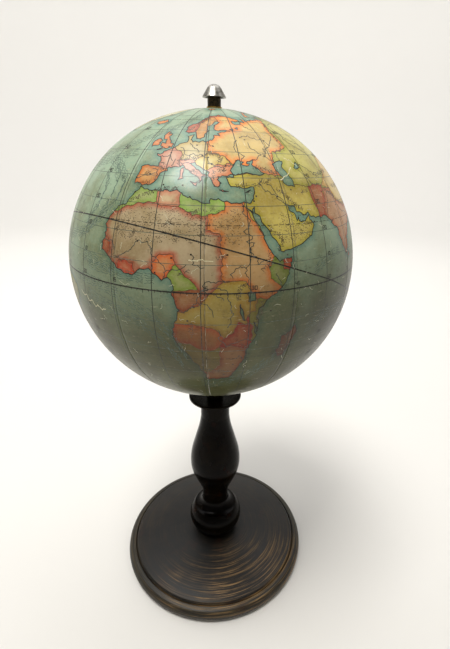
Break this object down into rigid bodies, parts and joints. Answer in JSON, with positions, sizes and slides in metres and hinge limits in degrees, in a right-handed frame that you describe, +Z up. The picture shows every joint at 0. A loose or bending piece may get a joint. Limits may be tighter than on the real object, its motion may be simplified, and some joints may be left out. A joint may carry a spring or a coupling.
{
  "type": "table globe",
  "caption": "Small terrestrial table globe on a turned black wooden baluster stand, spinning on a vertical axle under a domed nickel finial.",
  "frame": {"origin": "centre of the base's footprint, on the table", "axes": "+Z up along the axle; +X to the right of the map side that faces -Y"},
  "size_m": [0.12, 0.12, 0.2418],
  "materials": {
    "ebonised_wood": "black-stained, lacquered, worn to brown on edges",
    "bare_wood": "bare turned wood",
    "steel_rod": "drawn steel",
    "tack_steel": "blued steel tacks",
    "nickel": "worn nickel plate",
    "brass": "turned brass",
    "blackened_brass": "black lacquer",
    "felt": "dark felt",
    "linen": "coarse linen strip",
    "plaster": "smooth whiting and glue",
    "pasteboard": "layered pasteboard",
    "map_paper": "printed and hand-coloured paper under yellowed varnish"
  },
  "bodies": {
    "stand": {"base": "ebonised_wood", "column": "ebonised_wood", "axle_rod": "steel_rod", "lower_collar": "ebonised_wood", "south_washer": "felt", "north_washer": "felt", "upper_sleeve": "blackened_brass"},
    "globe": {"plaster_shell": "plaster", "hemisphere_south": "pasteboard", "hemisphere_north": "pasteboard", "joint_band": "linen", "axis_post": "bare_wood", "south_bush": "brass", "north_bush": "brass", "calotte_south": "map_paper", "calotte_north": "map_paper", "pole_tacks": "tack_steel", "gore_01": "map_paper", "gore_02": "map_paper", "gore_03": "map_paper", "gore_04": "map_paper", "gore_05": "map_paper", "gore_06": "map_paper", "gore_07": "map_paper", "gore_08": "map_paper", "gore_09": "map_paper", "gore_10": "map_paper", "gore_11": "map_paper", "gore_12": "map_paper"},
    "finial_washer": {"finial_washer": "steel_rod"},
    "finial": {"finial_cap": "nickel", "finial_insert": "brass"}
  },
  "joints": [
    {"name": "globe_spin", "type": "hinge", "parent": "stand", "child": "globe", "pos_m": [0, 0, 0.1735], "axis": [0, 0, 1], "continuous": true},
    {"name": "finial_rise", "type": "slide", "parent": "stand", "child": "finial_washer", "axis": [0, 0, 1], "range_m": [0, 0.002]},
    {"name": "finial_turn", "type": "hinge", "parent": "finial_washer", "child": "finial", "pos_m": [0, 0, 0.2383], "axis": [0, 0, 1], "range_deg": [0, 1440.1]}
  ],
  "couplings": [
    {"joint": "finial_turn", "follows": "finial_rise", "rad_per_m": 12566}
  ]
}
